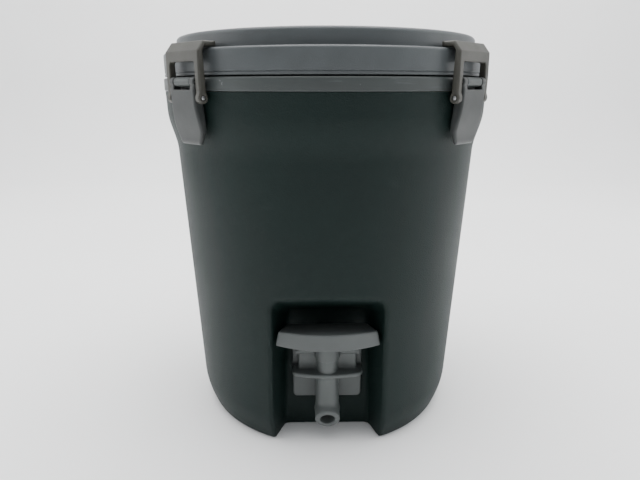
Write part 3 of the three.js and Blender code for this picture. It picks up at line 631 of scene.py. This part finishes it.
def make_lid():
    profile = [
        (0, RECESS_FLOOR),
        (0, RECESS_FLOOR - LID_SKIN),
        (LID_RADIUS - LID_SKIN, RECESS_FLOOR - LID_SKIN),
        (LID_RADIUS - LID_SKIN, LID_FOOT),
        (LID_RADIUS, LID_FOOT),
        (LID_RADIUS, 270.9),
        (LID_RADIUS - 0.8, 271.3),
        (LID_RADIUS, 271.8),
        (LID_RADIUS, LID_SHELF),
        (RIM_RADIUS, LID_SHELF),
        (RIM_RADIUS, RIM_TOP),
        (RIM_INSIDE, RIM_TOP),
        (RIM_INSIDE, RECESS_FLOOR),
    ]
    radii = [0, 0, 2, 0.5, 0.5, 0.3, 0.2, 0.3, 2.0, 1.2, 2.6, 2.2, 2.8]
    lid = turned("lid_moulding", profile, radii)
    lug_reach = HANDLE_HALF_WIDTH + 0.3
    for side in (-1, 1):
        across = sorted((side * lug_reach, side * (lug_reach + LUG_WIDTH)))
        foot = lambda p: block(p, across, (-LUG_RADIUS, LUG_RADIUS), (RECESS_FLOOR - 1, HANDLE_AXIS_Z))
        eye = lambda p: both(rod(p[1], p[2], LUG_RADIUS, (0, HANDLE_AXIS_Z)), slab(p[0], *across), 1.0)
        bore = lambda p: rod(p[1], p[2], HANDLE_BORE, (0, HANDLE_AXIS_Z))
        lug = lambda p: without(either(foot(p), eye(p), 0.4), bore(p))
        low, high = (across[0], -LUG_RADIUS, RECESS_FLOOR - 1), (across[1], LUG_RADIUS, 296)
        made = moulding(f"handle_lug_{'left' if side < 0 else 'right'}", lug, low, high, 0.6)
        place(made, "lid", slot="lid_grey", material=FINISH["lid_grey"])
    place(lid, "lid", "lid_top", slot="lid_grey", material=FINISH["lid_grey"])


def handle_plan(p, half, reach, corner):
    """A U that opens to the front, seen from above, with round rear corners."""
    sides = np.abs(p[0]) - half
    rear = -p[1] - reach
    return both(sides, rear, corner)


def handle_field(p):
    """The folded handle: a U-shaped bar with finger grooves and an eye at each end."""
    low, high = HANDLE_AXIS_Z - HANDLE_HALF_THICKNESS, HANDLE_AXIS_Z + HANDLE_HALF_THICKNESS
    thick = slab(p[2], low, high)
    whole = handle_plan(p, HANDLE_HALF_WIDTH, HANDLE_REACH, HANDLE_CORNER)
    opening_reach = HANDLE_REACH - HANDLE_BAR - 3
    opening = handle_plan(p, HANDLE_HALF_WIDTH - HANDLE_BAR, opening_reach, HANDLE_CORNER - HANDLE_BAR)
    bar = both(both(without(whole, opening, 2.4), p[1], 0), thick, 2.4)
    arm = both(np.abs(p[0]) - HANDLE_HALF_WIDTH, HANDLE_HALF_WIDTH - HANDLE_BAR - np.abs(p[0]))
    eye = both(rod(p[1], p[2], HANDLE_HALF_THICKNESS, (0, HANDLE_AXIS_Z)), arm, 0.8)
    for k in range(-3, 4):
        groove = np.hypot(p[0] - 9 * k, p[2] - (HANDLE_AXIS_Z + 4.9)) - 1.5
        bar = without(bar, both(groove, p[1] + 61), 0.4)
    return without(either(bar, eye, 0.5), rod(p[1], p[2], HANDLE_BORE, (0, HANDLE_AXIS_Z)))


def make_handle():
    half = HANDLE_HALF_THICKNESS
    low = (-HANDLE_HALF_WIDTH, -HANDLE_REACH, HANDLE_AXIS_Z - half)
    high = (HANDLE_HALF_WIDTH, half, HANDLE_AXIS_Z + half)
    handle = moulding("handle_moulding", handle_field, low, high, 0.9)
    place(handle, "handle", "lid_handle", slot="lid_grey", material=FINISH["lid_grey"])


def make_lid_underside():
    pan = [
        (0, PLUG_FOOT + 2.5),
        (0, PLUG_FOOT),
        (PLUG_RADIUS, PLUG_FOOT),
        (PLUG_RADIUS, 257.7),
        (77, 257.7),
        (77, 262.3),
        (PLUG_RADIUS, 262.3),
        (PLUG_RADIUS, LID_FOOT),
        (120.7, LID_FOOT),
        (120.7, LID_FOOT + 2.5),
        (74.5, LID_FOOT + 2.5),
        (74.5, PLUG_FOOT + 2.5),
    ]
    made = turned("lid_pan_moulding", pan, [0, 0, 2.5, 0.4, 0.3, 0.3, 0.4, 1.0, 0.5, 0.5, 1.0, 1.5])
    place(made, "lid", "lid_pan", slot="tank_grey", material=FINISH["tank_grey"])
    seal = [(77.3, 258), (PLUG_RADIUS, 258), (80.7, 260), (PLUG_RADIUS, 262), (77.3, 262)]
    made = turned("lid_seal_ring", seal, [0.4, 0.8, 0.9, 0.8, 0.4])
    place(made, "lid", "lid_seal", slot="rubber", material=FINISH["rubber"])


make_lid()
make_handle()
make_lid_underside()

# ---------------------------------------------------------------- latches
LATCH_HINGE = (129.3, 265.3)
LOOP_PIVOT = (128.5, 255.5)
HINGE_BORE = 1.5
LOOP_BORE = 1.6
LATCH_STEP = 0.55
LEVER_HALF_WIDTH = 13.75
LOOP_HALF_WIDTH = 19
LOOP_WINDOW_HALF_WIDTH = 14.2
LOOP_BAR_FOOT = 277.4
BRACKET_HALF_WIDTH = 9
HOOK_TIP = 115.5


LEVER_SIDE = eased([
    (132.4, 264), (132.3, 256), (131.8, 248), (130.6, 241), (129.2, 235.5), (128.4, 231), (128.3, 228),
    (127.5, 226), (126, 226), (125.2, 228), (124.6, 233), (124.6, 240), (125, 245), (125.2, 252),
    (126.4, 257), (126.4, 264),
])
LOOP_SIDE = [
    (131, 254), (131.3, 268), (131, 283.6), (126.2, 289.5), (116.7, 289.5), (115.5, 288.5),
    (115.5, 286.4), (125.2, 286.4), (127, 283.6), (126.4, 268), (126, 254),
]


def lever_field(p):
    """The latch lever: a curved plate, widest above its blunt tip, with ears on the hinge."""
    x, out, z = p
    width = np.interp(z, [226, 235.5, 241, 251], [11, 14.8, 14.8, LEVER_HALF_WIDTH])
    plate = both(polygon(out, z, LEVER_SIDE), (np.abs(x) - width) * 0.95, 1.3)
    ears = both(rod(out, z, 3.2, LATCH_HINGE), np.abs(x) - LEVER_HALF_WIDTH, 0.6)
    body = either(plate, ears, 0.8)
    notch = block(p, (-9.4, 9.4), (110, 140), (LATCH_HINGE[1] - 4.6, 280))
    body = without(body, notch, 0.5)
    body = without(body, rod(out, z, HINGE_BORE, LATCH_HINGE))
    return without(body, both(rod(out, z, LOOP_BORE, LOOP_PIVOT), 9.7 - np.abs(x)))


def loop_field(p):
    """The latch loop: two arms, a wide bar over the lid's edge and a hook on the shelf."""
    x, out, z = p
    eyes = rod(out, z, 3.5, LOOP_PIVOT)
    body = both(either(polygon(out, z, LOOP_SIDE), eyes, 1.0), np.abs(x) - LOOP_HALF_WIDTH, 1.3)
    body = both(body, both(np.abs(x) - LOOP_HALF_WIDTH, HOOK_TIP - out, 5.0))
    window = both(np.abs(x) - LOOP_WINDOW_HALF_WIDTH, z - LOOP_BAR_FOOT, 2.0)
    body = without(body, window, 0.7)
    return without(body, rod(out, z, LOOP_BORE, LOOP_PIVOT))


def bracket_field(p):
    """The hinge bracket on the collar: a plate and a web that carry the barrel."""
    x, out, z = p
    across = (-BRACKET_HALF_WIDTH, BRACKET_HALF_WIDTH)
    plate = block(p, across, (125.3, 127), (261.3, 268.1), 0.4)
    web = block(p, across, (126, LATCH_HINGE[0]), (263.2, 267.4), 0.4)
    barrel = both(rod(out, z, 3, LATCH_HINGE), np.abs(x) - BRACKET_HALF_WIDTH, 0.4)
    body = either(either(plate, web, 0.4), barrel, 0.6)
    return without(body, rod(out, z, HINGE_BORE, LATCH_HINGE))


def pin(name, radius, left, right, out, z):
    profile = [(0, left), (radius, left), (radius, right), (0, right)]
    chamfer = radius * 0.25
    return turned(name, profile, [0, chamfer, chamfer, 0], "x", (0, out, z), 32)


def make_latches():
    lever = moulding("lever_pattern", lever_field, (-15, 123, 226), (15, 133, 269), LATCH_STEP)
    loop = moulding("loop_pattern", loop_field, (-19, 115, 252), (19, 132, 290), LATCH_STEP)
    half = BRACKET_HALF_WIDTH
    bracket = moulding("bracket_pattern", bracket_field, (-half, 125, 261), (half, 132.5, 268.5), 0.5)
    hinge_pin = pin("hinge_pin_pattern", 1.2, -13.45, 13.45, *LATCH_HINGE)
    loop_pins = {
        "left": pin("loop_pin_left_pattern", 1.3, -18.7, -10, *LOOP_PIVOT),
        "right": pin("loop_pin_right_pattern", 1.3, 10, 18.7, *LOOP_PIVOT),
    }
    for where, degrees in LATCHES.items():
        lever_body = f"latch_lever_{where}"
        loop_body = f"latch_loop_{where}"
        rows = [
            (lever, f"latch_lever_moulding_{where}", lever_body, lever_body, "latch_grey"),
            (loop, f"latch_loop_moulding_{where}", loop_body, loop_body, "loop_grey"),
            (bracket, f"latch_bracket_moulding_{where}", "jug", f"latch_bracket_{where}", "collar_grey"),
            (hinge_pin, f"latch_hinge_rod_{where}", "jug", f"latch_hinge_pin_{where}", "steel"),
        ]
        for side, source in loop_pins.items():
            rod_name, pin_node = f"loop_rod_{side}_{where}", f"loop_pin_{side}_{where}"
            rows.append((source, rod_name, lever_body, pin_node, "steel"))
        for source, name, body, node, finish in rows:
            place(turned_round(name, source, degrees), body, node, slot=finish, material=FINISH[finish])
    for pattern in (lever, loop, bracket, hinge_pin, *loop_pins.values()):
        bpy.data.objects.remove(pattern)


make_latches()

# ---------------------------------------------------------------- spigot
PLATE = {"back": 76.9, "front": 79.5, "half": 26.4, "foot": 28.7, "top": 83, "corner": 3.5}
SHELF = {"foot": 54.3, "top": 57.5, "side": 93, "bulge": 4.6}
VALVE_OUT = 88
BARREL_SHOULDER = 67
ELBOW_Z = 24.6
OUTLET_RADIUS = 9.4
OUTLET_BORE = 5.7
OUTLET_LENGTH = 11.4
OUTLET_DROP = math.radians(22)
NECK_RADIUS = 7
NECK_TOP = 79
CHAMBER_RADIUS = 5.4
SEAT_RADIUS = 3.9
SEAT_Z = 59
SHANK_END = 46
SHANK_BORE = 3.6
EAR = {"inner": 17.5, "outer": 21.5, "low": 72, "post": 88.5}
FULCRUM = (98.5, 83.5)
FULCRUM_EYE = 2.9
FULCRUM_BORE = 1.7


def outlet_axes(p):
    """How far along the sloping outlet a point lies, and how far from its axis."""
    ahead, above = p[1] - VALVE_OUT, p[2] - ELBOW_Z
    along = ahead * math.cos(OUTLET_DROP) - above * math.sin(OUTLET_DROP)
    across = ahead * math.sin(OUTLET_DROP) + above * math.cos(OUTLET_DROP)
    return along, np.hypot(p[0], across)


def spigot_front(p):
    """Plate, shelf, valve block and step, with the bonnet's space cut out."""
    x, out, z = p
    half = PLATE["half"]
    face = both(slab(x, -half, half), slab(z, PLATE["foot"], PLATE["top"]), PLATE["corner"])
    plate = both(face, slab(out, PLATE["back"], PLATE["front"]), 0.8)
    lip = SHELF["side"] + SHELF["bulge"] * np.clip(1 - (x / half) ** 2, 0, 1)
    shelf = both(both(np.abs(x) - half, (out - lip) * 0.95, 3.0), PLATE["back"] + 0.6 - out)
    shelf = both(shelf, slab(z, SHELF["foot"], SHELF["top"]), 1.1)
    valve_block = block(p, (-21.9, 21.9), (78, 87), (SHELF["top"] - 1, 78), 1.4)
    step = block(p, (-24.4, 24.4), (78, 88.5), (70, 74), 1.1)
    front = either(either(plate, shelf, 1.2), either(valve_block, step, 0.7), 1.2)
    from_valve = np.hypot(x, out - VALVE_OUT)
    space = both(from_valve - 9.4, slab(z, BARREL_SHOULDER, 84))
    return without(front, space)


def spigot_field(p):
    """The spigot's moulding: its front, down tube, elbow, sloping outlet, ears and shank."""
    x, out, z = p
    from_valve = np.hypot(x, out - VALVE_OUT)
    from_elbow = np.sqrt(x**2 + (out - VALVE_OUT) ** 2 + (z - ELBOW_Z) ** 2)
    along, from_outlet = outlet_axes(p)
    shank = both(rod(x, z, 8, (0, SHANK_Z)), slab(out, SHANK_END, PLATE["front"]), 0.5)
    barrel = both(from_valve - 7.9, slab(z, SHELF["foot"], BARREL_SHOULDER), 0.4)
    body = either(either(spigot_front(p), shank, 0.6), barrel, 0.8)
    tube_radius = np.interp(z, [ELBOW_Z, SHELF["foot"]], [9.1, 8.7])
    tube = both(from_valve - tube_radius, slab(z, ELBOW_Z, SHELF["top"] - 1))
    outlet = both(from_outlet - OUTLET_RADIUS, slab(along, 0, OUTLET_LENGTH), 0.9)
    spout = either(either(tube, from_elbow - OUTLET_RADIUS, 1.0), outlet, 1.5)
    web = block(p, (-1.8, 1.8), (PLATE["front"] - 1, 81), (31, SHELF["foot"] + 1), 0.6)
    body = either(body, either(spout, web, 0.8), 1.0)
    for side in (-1, 1):
        across = sorted((side * EAR["inner"], side * EAR["outer"]))
        high = FULCRUM[1] + FULCRUM_EYE
        post = block(p, across, (PLATE["front"] - 1, EAR["post"]), (EAR["low"], high), 0.6)
        bar = block(p, across, (PLATE["front"], FULCRUM[0]), (FULCRUM[1] - FULCRUM_EYE, high), 0.6)
        eye = both(rod(out, z, FULCRUM_EYE, FULCRUM), slab(x, *across), 0.6)
        body = either(body, either(either(post, bar, 0.6), eye, 0.4), 0.6)
    neck = both(from_valve - NECK_RADIUS, slab(z, BARREL_SHOULDER - 2, NECK_TOP), 0.5)
    body = either(body, neck)
    body = without(body, both(from_valve - CHAMBER_RADIUS, slab(z, SEAT_Z, NECK_TOP + 2)))
    body = without(body, both(from_valve - SEAT_RADIUS, slab(z, 50, SEAT_Z + 1)))
    body = without(body, both(from_valve - OUTLET_BORE, slab(z, ELBOW_Z, SHELF["foot"])))
    bore = either(from_elbow - OUTLET_BORE, both(from_outlet - OUTLET_BORE, -along), 0.3)
    body = without(body, bore, 0.5)
    body = without(body, both(rod(x, z, SHANK_BORE, (0, SHANK_Z)), slab(out, 40, VALVE_OUT)))
    return without(body, rod(out, z, FULCRUM_BORE, FULCRUM))


PADDLE_BACK = 82.5
PADDLE_CORNER = 100.8
PADDLE_BULGE = 10.2
PADDLE_FOOT = 84.3
PADDLE_BACK_TOP = 92.6
PADDLE_SLOPE = 4 / 28.5
PADDLE_SKIN = 2.5
LUG = {"inner": 12.4, "outer": 17.2, "top": 92}
FORK = {"back": 84.5, "low": 85, "high": 87.2}


def paddle_outside(p, inset):
    """The lever's cap, drawn in on every side by an inset."""
    x, out, z = p
    top = PADDLE_BACK_TOP + PADDLE_SLOPE * (out - PADDLE_BACK)
    drop = np.clip((top - z) / (top - PADDLE_FOOT), 0, 1.2)
    corner = PADDLE_CORNER + 0.6 * drop
    corner_half = 35.6 + 2.3 * drop
    back_half = 30 + 1.5 * drop
    forward = np.clip((out - PADDLE_BACK) / (corner - PADDLE_BACK), 0, 1.1)
    half = back_half + (corner_half - back_half) * forward
    bow = np.clip(np.abs(x) / corner_half, 0, 1.1)
    front = corner + PADDLE_BULGE * (1 - bow**2)
    steep = np.hypot(1, 2 * PADDLE_BULGE * bow / corner_half)
    edge = 0.9 if inset == 0 else 0.6
    sides = both((np.abs(x) - half + inset) * 0.94, (out - front) / steep + inset, edge)
    walls = both(sides, PADDLE_BACK - 3 * inset - out, edge)
    return both(walls, (z - top) * 0.99 + inset, edge)


def lever_paddle_field(p):
    """The spigot lever: an open-backed cap, two lugs and the fork under the stem's head."""
    x, out, z = p
    cap = both(paddle_outside(p, 0), PADDLE_FOOT - z, 0.5)
    cap = without(cap, paddle_outside(p, PADDLE_SKIN), 0.4)
    lugs = []
    for side in (-1, 1):
        across = sorted((side * LUG["inner"], side * LUG["outer"]))
        web_out = (FULCRUM[0] - 5, FULCRUM[0] + FULCRUM_EYE)
        web = block(p, across, web_out, (FULCRUM[1], LUG["top"]), 0.4)
        eye = both(rod(out, z, FULCRUM_EYE, FULCRUM), slab(x, *across), 0.5)
        lugs.append(either(web, eye, 0.3))
    fork_out = (FORK["back"], FULCRUM[0] - 4)
    fork = block(p, (-LUG["outer"], LUG["outer"]), fork_out, (FORK["low"], FORK["high"]), 0.4)
    fork = without(fork, block(p, (-2.2, 2.2), (80, 91), (84, 88)))
    body = either(either(cap, np.minimum(*lugs), 0.6), fork, 0.3)
    return without(body, rod(out, z, FULCRUM_BORE, FULCRUM))


def washer(name, node, radius, near, far, edge, slot_name, sides=64):
    """A ring round the shank, between two distances out."""
    profile = [(8.3, near), (8.3, far), (radius, far), (radius, near)]
    made = turned(name, profile, [edge / 2, edge / 2, edge, edge], "out", (0, 0, SHANK_Z), sides)
    place(made, "jug", node, slot=slot_name, material=FINISH[slot_name])


def stacked(name, node, body, profile, radii, slot_name, sides=64):
    """A round piece of the valve, turned about the barrel's axis."""
    made = turned(name, profile, radii, "z", (0, VALVE_OUT, 0), sides)
    place(made, body, node, slot=slot_name, material=FINISH[slot_name])


SPRING_RADIUS = 3.7
SPRING_WIRE = 0.5
SPRING_TURNS = 6.5
SPRING_FOOT = 64.9
SPRING_TOP = 79.6
SPRING_END_TURNS = 0.9


def make_spring():
    """The return spring: a coil with closed ends, with a mesh of its own."""
    steps, around = 260, 12
    turn = np.linspace(0, SPRING_TURNS, steps + 1)
    travel = SPRING_TOP - SPRING_FOOT - 2 * SPRING_WIRE
    end_rise = SPRING_END_TURNS * 2.16 * SPRING_WIRE
    ends = [0, SPRING_END_TURNS, SPRING_TURNS - SPRING_END_TURNS, SPRING_TURNS]
    rise = np.interp(turn, ends, [0, end_rise, travel - end_rise, travel])
    points, faces = [], []
    for angle, height in zip(2 * math.pi * turn, rise):
        for k in range(around):
            bend = 2 * math.pi * k / around
            radius = SPRING_RADIUS + SPRING_WIRE * math.cos(bend)
            z = SPRING_FOOT + SPRING_WIRE + height + SPRING_WIRE * math.sin(bend)
            points.append((radius * math.cos(angle), VALVE_OUT + radius * math.sin(angle), z))
    for i in range(steps):
        for k in range(around):
            after = (k + 1) % around
            here, ahead = i * around, (i + 1) * around
            faces.append((here + k, here + after, ahead + after, ahead + k))
    faces.append(tuple(range(around)))
    faces.append(tuple(steps * around + k for k in range(around)))
    spring = new_object("spring_coil", points, faces)
    place(spring, "jug", "valve_spring", slot="steel", material=FINISH["steel"])
    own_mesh(spring)


def make_spigot():
    spigot = moulding("spigot_moulding", spigot_field, (-27, 46, 11), (27, 103, 87), 0.75)
    place(spigot, "jug", "spigot_body", slot="spigot_grey", material=FINISH["spigot_grey"])
    paddle = moulding("lever_moulding", lever_paddle_field, (-39, 80, 80), (39, 112, 97.5), 0.65)
    place(paddle, "lever", "spigot_lever", slot="lever_grey", material=FINISH["lever_grey"])
    stacked(
        "bonnet_cap", "valve_bonnet", "jug",
        [
            (1.9, 83.5), (1.9, 80.5), (5.4, 80.5), (5.4, 79.3),
            (7.3, 79.3), (7.3, 67.3), (9.1, 67.3), (9.1, 83.5),
        ],
        [0.3, 0.2, 0.2, 0, 0.2, 0.2, 0.4, 1.0], "spigot_grey", 72,
    )
    stacked(
        "stem_rod", "valve_stem", "stem",
        [(0, 62.6), (4.4, 62.6), (4.4, 64.6), (1.6, 64.6), (1.6, 87.7), (3, 87.7), (3, 88.6), (0, 88.6)],
        [0, 0.4, 0.4, 0.2, 0.1, 0.3, 0.3, 0], "steel",
    )
    stacked(
        "valve_seal_disc", "valve_seal", "stem",
        [(0, 59.3), (4.9, 59.3), (4.9, 62.3), (0, 62.3)], [0, 0.5, 0.5, 0], "rubber",
    )
    washer("outer_gasket_ring", "outer_gasket", 12.5, 74.8, 76.6, 0.6, "rubber")
    washer("inner_gasket_ring", "inner_gasket", 12.5, 56.7, 58.5, 0.6, "rubber")
    lever_rod = pin("lever_rod", 1.4, -21.2, 21.2, *FULCRUM)
    place(lever_rod, "jug", "lever_pin", slot="steel", material=FINISH["steel"])


make_spring()
make_spigot()

# ---------------------------------------------------------------- carried-over nodes
CARRIED = {
    "foam_core": "foam",
    "lid_foam": "foam",
    "spigot_nut": "spigot_grey",
    "handle_pin_left": "steel",
    "handle_pin_right": "steel",
}
for node, finish in CARRIED.items():
    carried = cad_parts[node]
    carried.data.materials.clear()
    carried.data.materials.append(FINISH[finish])


# ---------------------------------------------------------------- floor, backdrop and light
def plain_stage():
    """A pale seamless floor that curves up into a backdrop behind the jug."""
    n = Nodes("stage_white")
    tone = n.mix(n.span(n.noise(3, 4), 0.3, 0.7), (0.92, 0.92, 0.915, 1), (0.95, 0.95, 0.945, 1))
    n.put(tone, n.shader.inputs["Base Color"])
    n.shader.inputs["Roughness"].default_value = 0.7
    half, front, back, bend, top = 6.0, -3.5, 1.2, 0.25, 2.8
    path = [(front, 0.0), (back - bend, 0.0)]
    path += [
        (back - bend + bend * math.sin(a), bend - bend * math.cos(a))
        for a in (math.radians(15 * k) for k in range(1, 7))
    ]
    path.append((back, top))
    vertices = [(x, y, z) for y, z in path for x in (-half, half)]
    faces = [(2 * k, 2 * k + 1, 2 * k + 3, 2 * k + 2) for k in range(len(path) - 1)]
    mesh = bpy.data.meshes.new("stage_floor")
    mesh.from_pydata(vertices, [], faces)
    for polygon_face in mesh.polygons:
        polygon_face.use_smooth = True
    floor = bpy.data.objects.new("stage_floor", mesh)
    bpy.context.scene.collection.objects.link(floor)
    floor.data.materials.append(n.material)


def area_light(name, size, energy, location, target=(0, 0, 0.14)):
    data = bpy.data.lights.new(name, "AREA")
    data.shape = "RECTANGLE"
    data.size, data.size_y = size
    data.energy = energy
    lamp = bpy.data.objects.new(name, data)
    lamp.location = location
    lamp.rotation_euler = (Vector(target) - Vector(location)).to_track_quat("-Z", "Y").to_euler()
    bpy.context.scene.collection.objects.link(lamp)


def soft_light():
    """A pale room, dimmer in front of the jug than at its sides and above, with soft boxes."""
    world = bpy.data.worlds.new("studio")
    bpy.context.scene.world = world
    world.use_nodes = True
    tree = world.node_tree
    background = tree.nodes["Background"]
    background.inputs[0].default_value = (0.95, 0.97, 1.0, 1)
    direction = tree.nodes.new("ShaderNodeTexCoord")
    parts = tree.nodes.new("ShaderNodeSeparateXYZ")
    ramp = tree.nodes.new("ShaderNodeMapRange")
    ramp.interpolation_type = "SMOOTHSTEP"
    for socket, value in zip(ramp.inputs[1:5], (-0.95, -0.2, 0.50, 1.15)):
        socket.default_value = value
    tree.links.new(direction.outputs["Generated"], parts.inputs[0])
    tree.links.new(parts.outputs["Y"], ramp.inputs[0])
    tree.links.new(ramp.outputs[0], background.inputs[1])
    area_light("top_softbox", (1.6, 1.4), 32, (0.0, 0.1, 1.6))
    area_light("left_softbox", (0.9, 1.1), 7, (-1.3, 0.05, 0.7))
    area_light("right_softbox", (0.9, 1.1), 7, (1.3, 0.05, 0.7))
    area_light("backdrop_light", (2.2, 0.5), 15, (0.0, 0.45, 1.7), (0, 1.2, 0.5))


plain_stage()
soft_light()
